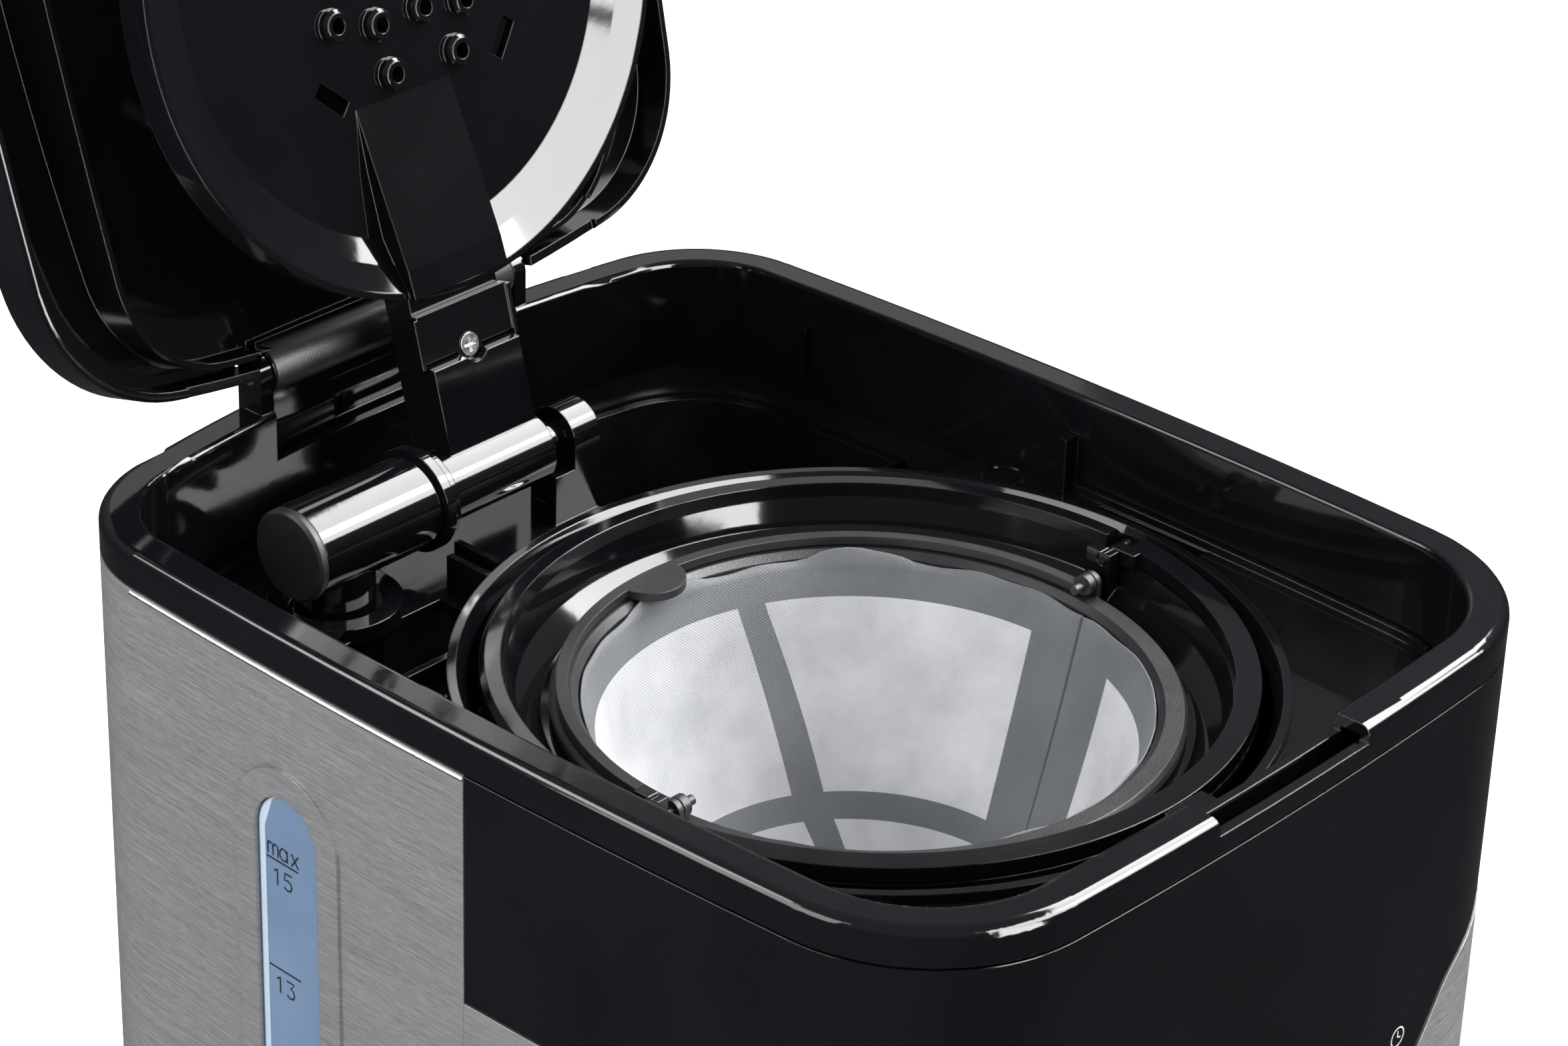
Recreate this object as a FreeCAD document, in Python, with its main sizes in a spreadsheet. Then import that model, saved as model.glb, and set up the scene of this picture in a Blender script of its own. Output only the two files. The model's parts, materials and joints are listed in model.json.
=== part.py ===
import FreeCAD, Part
import math
import os
import sys

import Sketcher

# Drip coffee maker, modelled in millimetres with its lid open.
# +Z is up, the front faces -Y, and the origin is on the table at the centre of the body's plan.

Vector = FreeCAD.Vector

DIMENSIONS = {
    # plan outline: four shallow arcs with rounded corners
    "half_width": 104.4, "front_reach": 126.6, "rear_reach": 134.3,
    "front_arc": 1200.0, "rear_arc": 419.0, "side_arc": 1660.0,
    "front_corner": 40.0, "rear_corner": 33.0,
    # heights above the table
    "rim_top": 330.0, "rim_band": 8.0, "panel_gap": 0.6, "skirt_low": 303.0,
    "head_low": 205.0, "base_top": 50.0, "base_low": 6.0, "cover_low": 1.5,
    "deck_top": 307.0, "deck_low_top": 296.0, "deck_wall": 3.0,
    # walls
    "shell_wall": 2.4, "steel_wall": 1.0, "tower_inset": 1.1, "rim_width": 9.0,
    "panel_seam": -4.0, "rear_band_half": 60.0,
    "bay_half": 88.0, "bay_rear": 54.0,
    # brewing parts, all round one upright axis
    "brew_y": -17.8, "seat_outer": 92.0, "seat_inner": 84.0,
    "basket_rim": 81.4, "basket_top": 311.4, "basket_low": 222.0, "handle_y": -24.0, "handle_thick": 3.4,
    "handle_lift": 2.7,
    "filter_ring": 66.0, "filter_top": 303.0, "filter_low": 238.0, "filter_foot": 38.0,
    # hot plate and carafe
    "plate_rim": 64.0, "plate_under": 47.0, "plate_top": 50.8, "carafe_floor": 51.0, "carafe_belly": 68.0,
    # lid and spray arm, both hinged on axes along X
    "open_angle": 105.0, "lid_hinge_y": 129.0, "lid_hinge_rise": 8.0,
    "arm_hinge_y": 95.0, "arm_hinge_drop": 16.0, "disc_radius": 72.4, "disc_drop": 14.0,
    "disc_x": 2.5, "disc_y": -18.8,
    "lid_gap": 0.6, "lid_rise": 20.0, "lid_crown": 900.0, "lid_wall": 2.2,
    "lid_front": 4.0, "lid_side": 6.5, "lid_rear": 3.4, "lid_corner": 36.0,
    "knuckle_radius": 5.0, "pin_radius": 2.2, "pin_play": 0.05,
    "riser_x": -47.0, "tank_low": 72.0, "tank_top": 292.4, "tank_inset": 4.5, "tank_wall": 2.0,
    # level window on the left side
    "window_y": 48.4, "window_half": 9.4, "window_low": 78.0, "window_high": 292.8,
    "bezel_half": 15.9, "bezel_rise": 0.7,
    # front panel
    "panel_z": 232.0, "button_radius": 5.0, "button_outer": 44.0, "button_pitch": 13.0,
    "screen_half": 22.0, "screen_low": 213.0, "screen_high": 240.0,
    "gland_z": 61.0, "gland_neck": 6.0, "cord_radius": 3.6,
    "foot_x": 74.0, "foot_front": -90.0, "foot_rear": 98.0,
    "screw_x": 50.0, "screw_front": -102.0, "screw_rear": 111.0,
}

doc = FreeCAD.newDocument("coffee_maker")
sheet = doc.addObject("Spreadsheet::Sheet", "dims")
for row, (alias, number) in enumerate(DIMENSIONS.items(), start=1):
    sheet.set("A%d" % row, alias)
    sheet.set("B%d" % row, str(number))
    sheet.setAlias("B%d" % row, alias)
doc.recompute()


class Size:
    """A length with its value now and the expression that ties it to the sheet."""

    def __init__(self, value, text):
        self.value, self.text = value, text

    def __float__(self):
        return float(self.value)

    def __add__(self, other):
        return combine(self, "+", other)

    def __radd__(self, other):
        return combine(other, "+", self)

    def __sub__(self, other):
        return combine(self, "-", other)

    def __rsub__(self, other):
        return combine(other, "-", self)

    def __mul__(self, other):
        return combine(self, "*", other)

    def __rmul__(self, other):
        return combine(other, "*", self)

    def __truediv__(self, other):
        return combine(self, "/", other)

    def __neg__(self):
        return combine(0, "-", self)


def combine(first, sign, second):
    a, b = float(first), float(second)
    value = {"+": a + b, "-": a - b, "*": a * b, "/": a / b if b else 0.0}[sign]
    words = [s.text if isinstance(s, Size) else "(%s)" % repr(float(s)) for s in (first, second)]
    return Size(value, "(%s %s %s)" % (words[0], sign, words[1]))


class Dims:
    """Reads a driving dimension from the sheet by its alias."""

    def __getattr__(self, alias):
        return Size(float(sheet.get(alias)), "dims." + alias)


D = Dims()
NODES = []


def bind(thing, path, size):
    """Sets a property of a document object, tied to the sheet where the size is."""
    if isinstance(size, Size):
        thing.setExpression(path, size.text)
    else:
        thing.setExpression(path, repr(float(size)))


def place(thing, x=0, y=0, z=0, axis=None, angle=0):
    rotation = FreeCAD.Rotation(axis, angle) if axis else FreeCAD.Rotation()
    thing.Placement = FreeCAD.Placement(Vector(float(x), float(y), float(z)), rotation)
    for letter, size in zip("xyz", (x, y, z)):
        if isinstance(size, Size):
            thing.setExpression("Placement.Base." + letter, size.text)
    return thing


def box(x0, x1, y0, y1, z0, z1):
    thing = doc.addObject("Part::Box", "box")
    for name, low, high in (("Length", x0, x1), ("Width", y0, y1), ("Height", z0, z1)):
        bind(thing, name, combine(high, "-", low))
    return place(thing, x0, y0, z0)


def turned_box(x, y, length, width, z0, z1, angle):
    """A box centred on x, y and turned about Z."""
    corner = FreeCAD.Rotation(Vector(0, 0, 1), angle).multVec(Vector(-length / 2, -width / 2, 0))
    thing = box(0, length, 0, width, z0, z1)
    return place(thing, x + corner.x, y + corner.y, z0, Vector(0, 0, 1), angle)


TURNS = {"z": (None, 0), "x": (Vector(0, 1, 0), 90), "y": (Vector(1, 0, 0), -90)}


def cylinder(radius, x, y, z, length, along="z", spin=0):
    """A cylinder from x, y, z towards plus along."""
    thing = doc.addObject("Part::Cylinder", "cylinder")
    bind(thing, "Radius", radius)
    bind(thing, "Height", length)
    axis, angle = TURNS[along]
    if spin:
        axis, angle = Vector(0, 0, 1), spin
    return place(thing, x, y, z, axis, angle)


def cone(r0, r1, x, y, z, length, along="z"):
    thing = doc.addObject("Part::Cone", "cone")
    bind(thing, "Radius1", r0)
    bind(thing, "Radius2", r1)
    bind(thing, "Height", length)
    return place(thing, x, y, z, *TURNS[along])


def torus(major, minor, x, y, z, along="z", sweep=360, spin=0):
    thing = doc.addObject("Part::Torus", "torus")
    bind(thing, "Radius1", major)
    bind(thing, "Radius2", minor)
    thing.Angle3 = sweep
    axis, angle = TURNS[along]
    if spin:
        axis, angle = Vector(0, 0, 1), spin
    return place(thing, x, y, z, axis, angle)


def fuse(*parts):
    thing = doc.addObject("Part::MultiFuse", "fuse")
    thing.Shapes = list(parts)
    return thing


def common(*parts):
    thing = doc.addObject("Part::MultiCommon", "common")
    thing.Shapes = list(parts)
    return thing


def cut(base, *tools):
    """The base less every tool, one boolean for each."""
    for tool in tools:
        thing = doc.addObject("Part::Cut", "cut")
        thing.Base, thing.Tool = base, tool
        base = thing
    return base


def group(*parts):
    """Identical or matching pieces kept as separate solids of one node."""
    thing = doc.addObject("Part::Compound", "group")
    thing.Links = list(parts)
    return thing


def plain(shape, name="shape"):
    thing = doc.addObject("Part::Feature", name)
    thing.Shape = shape
    return thing


def round_edges(thing, wanted, radius):
    """Fillets the edges that wanted picks."""
    doc.recompute()
    chosen = [n for n, edge in enumerate(thing.Shape.Edges, start=1) if wanted(edge)]
    result = doc.addObject("Part::Fillet", "fillet")
    result.Base = thing
    sizes = [radius(thing.Shape.Edges[n - 1]) if callable(radius) else float(radius) for n in chosen]
    result.Edges = [(n, size, size) for n, size in zip(chosen, sizes)]
    return result


def node(name, thing):
    """Names a finished sub-part; its label is the name of its file."""
    thing.Label = name
    NODES.append((name, thing))
    return thing


def is_upright(edge):
    direction = edge.tangentAt(edge.FirstParameter)
    return abs(direction.z) > 0.999


def at_height(z):
    """Picks edges that lie wholly at one height."""
    return lambda edge: all(abs(end - float(z)) < 0.01 for end in (edge.BoundBox.ZMin, edge.BoundBox.ZMax))


def outline(front, side, rear, front_corner, rear_corner, low, high):
    """A prism on the body's plan, moved in by its own amount at the front, sides and rear."""
    height = combine(high, "-", low)
    sharp = common(
        cylinder(D.front_arc - front, 0, D.front_arc - D.front_reach, low, height),
        cylinder(D.rear_arc - rear, 0, D.rear_reach - D.rear_arc, low, height),
        cylinder(D.side_arc - side, D.side_arc - D.half_width, 0, low, height),
        cylinder(D.side_arc - side, D.half_width - D.side_arc, 0, low, height, spin=90))
    return round_edges(sharp, is_upright, lambda edge: float(
        front_corner if edge.CenterOfMass.y < 0 else rear_corner))


def block(inset, low, high, top_round=0):
    """A prism on the body's plan outline moved in by inset."""
    result = outline(inset, inset, inset, D.front_corner - inset, D.rear_corner - inset, low, high)
    if top_round:
        result = round_edges(result, at_height(high), top_round)
    return result


def revolved(profile, y=0, x=0, z=0):
    """A PartDesign body turned from a closed profile of (radius, height) points."""
    body = doc.addObject("PartDesign::Body", "body")
    sketch = body.newObject("Sketcher::SketchObject", "profile")
    plane = [f for f in body.Origin.OriginFeatures if f.Role == "XZ_Plane"][0]
    sketch.AttachmentSupport = (plane, [""])
    sketch.MapMode = "FlatFace"
    points = [Vector(float(r), float(h), 0) for r, h in profile]
    for n, point in enumerate(points):
        sketch.addGeometry(Part.LineSegment(point, points[(n + 1) % len(points)]), False)
    for n in range(len(points)):
        sketch.addConstraint(Sketcher.Constraint("Coincident", n, 2, (n + 1) % len(points), 1))
    for n, (r, h) in enumerate(profile):
        for kind, size in (("DistanceX", r), ("DistanceY", h)):
            number = sketch.addConstraint(Sketcher.Constraint(kind, -1, 1, n, 1, float(size)))
            if isinstance(size, Size):
                sketch.setExpression("Constraints[%d]" % number, size.text)
    turn = body.newObject("PartDesign::Revolution", "turn")
    turn.Profile = sketch
    turn.ReferenceAxis = (sketch, ["V_Axis"])
    turn.Angle = 360
    place(body, x, y, z)
    return body


def prism_x(points, x0, x1):
    """A solid with a side profile of (y, z) points, from x0 to x1."""
    corners = [Vector(float(x0), float(y), float(z)) for y, z in points]
    face = Part.Face(Part.makePolygon(corners + corners[:1]))
    return plain(face.extrude(Vector(float(x1) - float(x0), 0, 0)))


def prism_z(points, z0, z1):
    """A solid with a plan of (x, y) points, from z0 to z1."""
    corners = [Vector(float(x), float(y), float(z0)) for x, y in points]
    face = Part.Face(Part.makePolygon(corners + corners[:1]))
    return plain(face.extrude(Vector(0, 0, float(z1) - float(z0))))


def slot_x(y, half, z0, z1, x0, x1):
    """A round-ended upright bar of width 2 half, from x0 to x1."""
    depth = combine(x1, "-", x0)
    return fuse(
        box(x0, x1, y - half, y + half, z0 + half, z1 - half),
        cylinder(half, x0, y, z0 + half, depth, "x"),
        cylinder(half, x0, y, z1 - half, depth, "x"),
    )


def pipe(points, bend, outer, inner=0):
    """A tube along straight runs joined by arcs."""
    edges, start = [], points[0]
    for n in range(1, len(points) - 1):
        before = (points[n - 1] - points[n]).normalize()
        after = (points[n + 1] - points[n]).normalize()
        half = before.getAngle(after) / 2
        reach = bend / math.tan(half)
        first, last = points[n] + before * reach, points[n] + after * reach
        inward = (before + after).normalize()
        middle = points[n] + inward * (bend / math.sin(half) - bend)
        edges.append(Part.LineSegment(start, first).toShape())
        edges.append(Part.Arc(first, middle, last).toShape())
        start = last
    edges.append(Part.LineSegment(start, points[-1]).toShape())
    path = Part.Wire(edges)
    heading = points[1] - points[0]

    def sweep(radius):
        ring = Part.Wire(Part.makeCircle(float(radius), points[0], heading))
        return path.makePipeShell([ring], True, False)

    shape = sweep(outer)
    if inner:
        shape = shape.cut(sweep(inner))
    return shape


# ---------------------------------------------------------------- base

def corners_of(x, front, rear):
    return [(-x, front), (x, front), (-x, rear), (x, rear)]


def make_base():
    screws = corners_of(D.screw_x, D.screw_front, D.screw_rear)
    feet = corners_of(D.foot_x, D.foot_front, D.foot_rear)
    shell = cut(
        block(0, D.base_low, D.base_top, 2.0),
        block(D.shell_wall, D.base_low - 1, D.base_top - 2.5),
        cylinder(D.plate_rim + 3.1, 0, D.brew_y, D.base_top - 5, 8),
        box(-60, 60, 57, 103, D.base_top - 5, D.base_top + 1),
    )
    posts = [cylinder(4.5, x, y, D.base_low + 0.05, D.base_top - D.base_low - 1) for x, y in screws]
    holes = [cylinder(1.5, x, y, D.base_low - 1, 14) for x, y in screws]
    node("base_shell", cut(fuse(shell, *posts), *holes))

    cover = block(0.6, D.cover_low, D.base_low)
    recesses = [cylinder(9.2, x, y, D.cover_low - 1, 3) for x, y in feet]
    heads = [cylinder(3.5, x, y, D.cover_low - 1, 2.8) for x, y in screws]
    shanks = [cylinder(1.6, x, y, D.cover_low - 1, 8) for x, y in screws]
    vents = [box(-30, 30, y, y + 3, D.cover_low - 1, D.base_low + 1) for y in (30, 38, 46, 54, 62)]
    node("base_cover", cut(cover, *recesses, *heads, *shanks, *vents))

    pads = [fuse(cone(8.2, 9.0, x, y, 0, 0.8), cylinder(9.0, x, y, 0.8, D.cover_low + 1.2)) for x, y in feet]
    node("rubber_feet", group(*pads))
    screw = [
        cut(
            fuse(cylinder(3.2, x, y, D.cover_low, 1.8), cylinder(1.45, x, y, D.cover_low + 1.8, 12)),
            box(x - 2, x + 2, y - 0.4, y + 0.4, D.cover_low - 0.5, D.cover_low + 0.8),
            box(x - 0.4, x + 0.4, y - 2, y + 2, D.cover_low - 0.5, D.cover_low + 0.8),
        )
        for x, y in screws
    ]
    node("base_screws", group(*screw))


def make_hot_plate():
    rim, top, floor, under = D.plate_rim, D.plate_top, D.carafe_floor, D.plate_under
    node("warming_plate", revolved([
        (0, under), (rim - 5, under), (rim - 3, top - 2), (rim, top - 2),
        (rim, top), (rim - 4, top), (rim - 6, floor), (0, floor)], D.brew_y))
    node("plate_gasket", revolved([
        (rim + 0.1, D.base_top - 2.5), (rim + 3, D.base_top - 2.5), (rim + 3, D.base_top + 0.05),
        (rim + 4.5, D.base_top + 0.05), (rim + 4.5, D.base_top + 0.6),
        (rim + 0.1, D.base_top + 0.6)], D.brew_y))
    bend, tube = -D.riser_x, 5.5
    leg_z = float(under) - tube
    front = float(D.brew_y)
    legs = [cylinder(tube, x, front, leg_z, 48, "y") for x in (-bend, bend)]
    horseshoe = torus(bend, tube, 0, front, leg_z, sweep=180, spin=180)
    node("heating_element", fuse(horseshoe, *legs))
    node("thermostats", group(
        fuse(cylinder(7.5, 0, front - 14, 39, under - 39), cylinder(2, 0, front - 14, 34, 5)),
        fuse(cylinder(6, 0, front + 14, 40, under - 40), cylinder(1.5, 0, front + 14, 35, 5))))
    node("thermostat_bracket", cut(
        box(-3, 3, front - 34, front + 34, 37.9, 38.9),
        cylinder(2.1, 0, front - 14, 37, 3), cylinder(1.6, 0, front + 14, 37, 3)))


# ---------------------------------------------------------------- body

def make_tower():
    wall = D.tower_inset + D.shell_wall
    everywhere = (-200, 200)
    behind = box(*everywhere, D.panel_seam + 0.2, 200, D.base_top, D.skirt_low)
    skin = common(cut(block(D.tower_inset, D.base_top, D.skirt_low),
                      block(wall, D.base_top - 1, D.skirt_low + 1)), behind)
    liner = cut(
        common(block(D.tower_inset + 1, D.base_top, D.head_low),
               box(-D.bay_half - 2.4, D.bay_half + 2.4, D.panel_seam + 0.2, D.bay_rear + 2.4,
                   D.base_top, D.head_low)),
        box(-D.bay_half, D.bay_half, -20, D.bay_rear, D.base_top - 1, D.head_low + 1),
    )
    returns = [common(block(D.tower_inset + 1, D.base_top, D.head_low),
                      box(*span, D.panel_seam + 0.2, D.panel_seam + 2.6, D.base_top, D.head_low))
               for span in ((-200, -D.bay_half), (D.bay_half, 200))]
    band = common(cut(block(0, D.base_top, D.rim_top - D.rim_band - D.panel_gap),
                      block(D.tower_inset + 0.6, D.base_top - 1, D.rim_top)),
                  box(-D.rear_band_half, D.rear_band_half, 100, 200, D.base_top, D.rim_top))
    window = slot_x(D.window_y, D.window_half + 0.4, D.window_low - 1, D.window_high + 1, -120, -90)
    cord_hole = cylinder(D.gland_neck + 0.05, 0, 120, D.gland_z, 30, "y")
    vents = [box(x, x + 3, 120, 150, 240, 275) for x in range(-33, 34, 9)]
    node("tower_shell", cut(fuse(skin, liner, *returns, band), window, cord_hole, *vents))


def make_cord_gland():
    """A moulded bushing held in the rear wall by a flange on each side."""
    outside = D.rear_reach + 0.05
    inside = D.rear_reach - D.tower_inset - D.shell_wall - 0.1
    neck, z = D.gland_neck, D.gland_z
    node("cord_gland", cut(
        fuse(cylinder(neck + 1.4, 0, inside - 2.5, z, 2.5, "y"),
             cylinder(neck, 0, inside, z, outside - inside, "y"),
             cylinder(neck + 2.4, 0, outside, z, 1.2, "y"),
             cone(neck + 1.0, neck - 0.2, 0, outside + 1.2, z, 1.6, "y")),
        cylinder(D.cord_radius, 0, inside - 4, z, 20, "y")))


def make_side_panels():
    top = D.rim_top - D.rim_band - D.panel_gap
    low = D.base_top + 0.4
    sheet_metal = cut(block(0, low, top), block(D.steel_wall, low - 1, top + 1))
    rear = box(-D.rear_band_half - 0.3, D.rear_band_half + 0.3, 100, 200, low - 2, top + 2)
    left = cut(common(sheet_metal, box(-200, 0, D.panel_seam + 0.2, 200, low, top)), rear)
    right = cut(common(cut(block(0, low, top), block(D.steel_wall, low - 1, top + 1)),
                       box(0, 200, D.panel_seam + 0.2, 200, low, top)),
                box(-D.rear_band_half - 0.3, D.rear_band_half + 0.3, 100, 200, low - 2, top + 2))
    border = D.bezel_half - D.window_half
    bezel = common(
        cut(block(-D.bezel_rise, D.window_low - 12, D.window_high + 12),
            block(0.5, D.window_low - 13, D.window_high + 13)),
        slot_x(D.window_y, D.bezel_half, D.window_low - border, D.window_high + border, -120, -90))
    opening = slot_x(D.window_y, D.window_half + 0.2, D.window_low, D.window_high, -120, -90)
    node("steel_panel_left", cut(fuse(left, bezel), opening))
    node("steel_panel_right", right)
    lens = common(
        slot_x(D.window_y, D.window_half, D.window_low + 0.2, D.window_high - 0.2, -120, -90),
        cut(block(0.3, D.window_low, D.window_high), block(3.6, D.window_low - 1, D.window_high + 1)))
    node("level_window", lens)


def wing_zone(side, inset, high):
    """The swept lower corner of the head's front: a steep run, a bend and a shallow run."""
    def at(x, z):
        return Vector(side * x, -200, z)

    steep, bend_low, bend = at(33, 205), at(61.5, 246), at(65.4, 251.2)
    bend_high, far = at(71, 254.8), at(140, 283)
    edges = [
        Part.LineSegment(steep, bend_low), Part.Arc(bend_low, bend, bend_high),
        Part.LineSegment(bend_high, far), Part.LineSegment(far, at(140, 204)),
        Part.LineSegment(at(140, 204), at(33, 204)), Part.LineSegment(at(33, 204), steep)]
    face = Part.Face(Part.Wire([edge.toShape() for edge in edges]))
    zone = plain(face.extrude(Vector(0, 200 + float(D.panel_seam) - 0.1, 0)))
    return common(cut(block(inset, D.head_low, high), block(1.5, D.head_low - 1, high + 1)), zone)


def make_front():
    top = D.rim_top - D.rim_band - D.panel_gap
    shell = common(cut(block(0, D.head_low, top), block(D.shell_wall, D.head_low - 1, top + 1)),
                   box(-200, 200, -200, D.panel_seam - 0.1, D.head_low, top))
    cutters = [wing_zone(side, -1, top) for side in (-1, 1)]
    places = [side * (D.button_outer - step) for side, step in
              ((-1, 0), (-1, D.button_pitch), (1, D.button_pitch), (1, 0))]
    holes = [cylinder(D.button_radius + 0.4, x, -150, D.panel_z, 40, "y") for x in places]
    screen = box(-D.screen_half, D.screen_half, -150, -110, D.screen_low, D.screen_high)
    node("front_shell", cut(shell, *cutters, *holes, screen))
    for side, name in ((-1, "left"), (1, "right")):
        node("steel_wing_" + name, wing_zone(side, -0.3, D.head_low + 90))
    front = -D.front_reach
    node("display_window", common(
        cut(block(0.4, D.screen_low, D.screen_high), block(2.0, D.screen_low - 1, D.screen_high + 1)),
        box(-D.screen_half + 0.2, D.screen_half - 0.2, -150, -110, D.screen_low + 0.2, D.screen_high - 0.2)))
    node("display_module", box(-D.screen_half + 2, D.screen_half - 2, front + 2.7, front + 5.5,
                               D.screen_low + 2, D.screen_high - 2))
    board_y = front + 10.6
    node("control_board", fuse(
        box(-56, 56, board_y, board_y + 1.6, D.screen_low - 2, D.screen_high + 12),
        box(-20, 12, board_y + 1.6, board_y + 6, D.screen_low, D.screen_high - 6)))
    node("tact_switches", group(*[
        fuse(box(x - 3, x + 3, board_y - 3.2, board_y, D.panel_z - 3, D.panel_z + 3),
             cylinder(1.6, x, board_y - 4.2, D.panel_z, 1.1, "y")) for x in places]))
    for number, x in enumerate(places, start=1):
        face_y = front + x * x / (2 * D.front_arc)
        cap = fuse(
            cylinder(D.button_radius, x, face_y - 0.9, D.panel_z, 4.6, "y"),
            cylinder(D.button_radius + 1.4, x, face_y + 3.0, D.panel_z, 0.8, "y"),
            cylinder(1.5, x, face_y + 3.6, D.panel_z, 0.8, "y"))
        node("button_%d" % number, cap)
    node("head_underside", cut(
        common(block(D.shell_wall + 0.1, D.head_low, D.head_low + 2.5),
               box(-200, 200, -200, D.bay_rear, D.head_low, D.head_low + 3)),
        cylinder(24, 0, D.brew_y, D.head_low - 1, 6),
        box(-200, -D.bay_half + 3, D.panel_seam, 60, D.head_low - 1, D.head_low + 4),
        box(D.bay_half - 3, 200, D.panel_seam, 60, D.head_low - 1, D.head_low + 4)))


def make_rim():
    top, low = D.rim_top, D.rim_top - D.rim_band
    band = round_edges(block(0, low, top), at_height(top), 2.4)
    hollow = cut(block(2.4, low - 1, top - 2.6), block(D.rim_width - 2, low - 2, top))
    throat = block(D.rim_width, low - 1, top + 1)
    ring = round_edges(cut(band, throat), at_height(top), 1.2)
    skirt = cut(block(D.rim_width - 2, D.skirt_low, top - 2), block(D.rim_width, D.skirt_low - 1, top + 1))
    tongue = cut(block(D.shell_wall + 0.15, D.skirt_low + 0.2, low + 0.5),
                 block(D.shell_wall + 1.5, D.skirt_low - 1, low + 1))
    notch = box(-24, 24, -140, -105, top - 3.7, top + 1)
    rear_notch = box(-37, 37, 110, 131.6, top - 12, top + 1)
    apron = common(block(0.4, top - 3, top + 2), box(-37, 37, 131.6, 140, top - 3, top + 2))
    ears = [common(block(0.4, low, top + 14), cut(
        fuse(box(x, x + 3.6, D.lid_hinge_y - 4.6, D.lid_hinge_y + 4.6, low, top + D.lid_hinge_rise),
             cylinder(4.6, x, D.lid_hinge_y, top + D.lid_hinge_rise, 3.6, "x")),
        cylinder(D.pin_radius + D.pin_play, x - 1, D.lid_hinge_y, top + D.lid_hinge_rise, 6, "x")))
        for x in (-40.6, 37.0)]
    ribs = [box(91, D.half_width - 8, y - 1.2, y + 1.2, top - 22.9, top - 9.5) for y in (5.5, 84)]
    body = cut(fuse(cut(ring, hollow), skirt, tongue, *ribs), notch, rear_notch)
    node("rim_collar", fuse(body, apron, *ears))


def make_deck():
    high, low, wall = D.deck_top, D.deck_low_top, D.deck_wall
    chamber = cylinder(D.seat_inner + 2.1, 0, D.brew_y, low - 10, 40)
    front_deck = common(block(D.rim_width + 0.05, high - wall, high), box(-200, 200, -200, 30, low, high))
    rear_deck = common(block(D.rim_width + 0.05, low - wall, low), box(-200, 22, 28, 200, low - wall, low))
    step = common(block(D.rim_width + 0.05, low - wall, high), box(-200, 60, 28, 30, low - wall, high))
    right_step = common(block(D.rim_width + 0.05, low - wall, high), box(20, 200, 28, 30, low - wall, high))
    tank_edge = prism_z([(20, 28), (46, 60), (26, 90), (22, 125), (16, 125), (20, 92)], low - wall, low)
    seat = revolved([
        (D.seat_inner, 286), (D.seat_inner + 2, 286), (D.seat_inner + 2, high - 2),
        (D.seat_outer - 4, high - 2),
        (D.seat_outer - 4, high + 2.5), (D.seat_outer - 6, high + 2.5),
        (D.seat_inner, high - 0.5)], D.brew_y)
    lip = common(cut(block(D.rim_width + 0.6, high - 1, high + 2),
                     block(D.rim_width + 1.9, high - 2, high + 3)),
                 box(60, 200, -96, 4, high - 1, high + 2))
    ribs = [box(x, x + 1.8, 30.5, 86, low - 2, low + 7) for x in (-22, -66)]
    cross = box(-66, -21, 57, 58.8, low - 2, low + 4.5)
    fin = box(-13.9, -12.1, 77, 92, low - 2, low + 5)
    mark = cut(cylinder(5, 88, 19, high - 0.4, 2), cylinder(4.3, 88, 19, high - 1, 4))
    groove = box(89.4, 92.6, -35, -5, high - 2.2, high + 1)
    pocket = box(-58, -28, 62, 82, low - 10, low + 1)
    post_x, post_y, post_z = 20.0, float(D.arm_hinge_y), float(D.rim_top - D.arm_hinge_drop)
    post = cut(
        fuse(box(post_x, post_x + 8, post_y - 7, post_y + 7, low - 1, post_z),
             cylinder(7, post_x, post_y, post_z, 8, "x"),
             box(post_x - 6, post_x, post_y - 7, post_y - 4, low - 1, post_z - 6)),
        cylinder(4.05, post_x - 7, post_y, post_z, 20, "x"))
    cradle = cut(
        cylinder(15, D.riser_x, D.arm_hinge_y, low - 1, 4),
        cylinder(10.7, D.riser_x, D.arm_hinge_y, low - 2, 8))
    screws = [(12.5, 82.0), (-80, 44)]
    recesses = [cylinder(5, x, y, low - 1.2, 5) for x, y in screws]
    bores = [cylinder(1.6, x, y, low - 10, 20) for x, y in screws]
    whole = fuse(front_deck, rear_deck, step, right_step, tank_edge, lip, *ribs, cross, fin)
    whole = cut(whole, chamber, pocket, cylinder(8.3, D.riser_x, D.arm_hinge_y, low - 10, 20),
                mark, groove, *recesses, *bores)
    node("inner_deck", fuse(whole, seat, post, cradle))
    node("deck_screws", group(*[
        cut(fuse(cylinder(3, x, y, low - 1.2, 1.6), cylinder(1.4, x, y, low - 13, 12)),
            box(x - 1.8, x + 1.8, y - 0.35, y + 0.35, low - 0.6, low + 1),
            box(x - 0.35, x + 0.35, y - 1.8, y + 1.8, low - 0.6, low + 1)) for x, y in screws]))


def make_brew_chamber():
    inner, low = D.seat_inner, D.head_low + 3
    node("brew_chamber", revolved([
        (22, low), (60, low), (inner + 2, 252), (inner + 2, 285.8), (inner, 285.8), (inner, 253),
        (59, low + 2), (24, low + 2), (24, low + 6), (22, low + 6)], D.brew_y))


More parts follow.
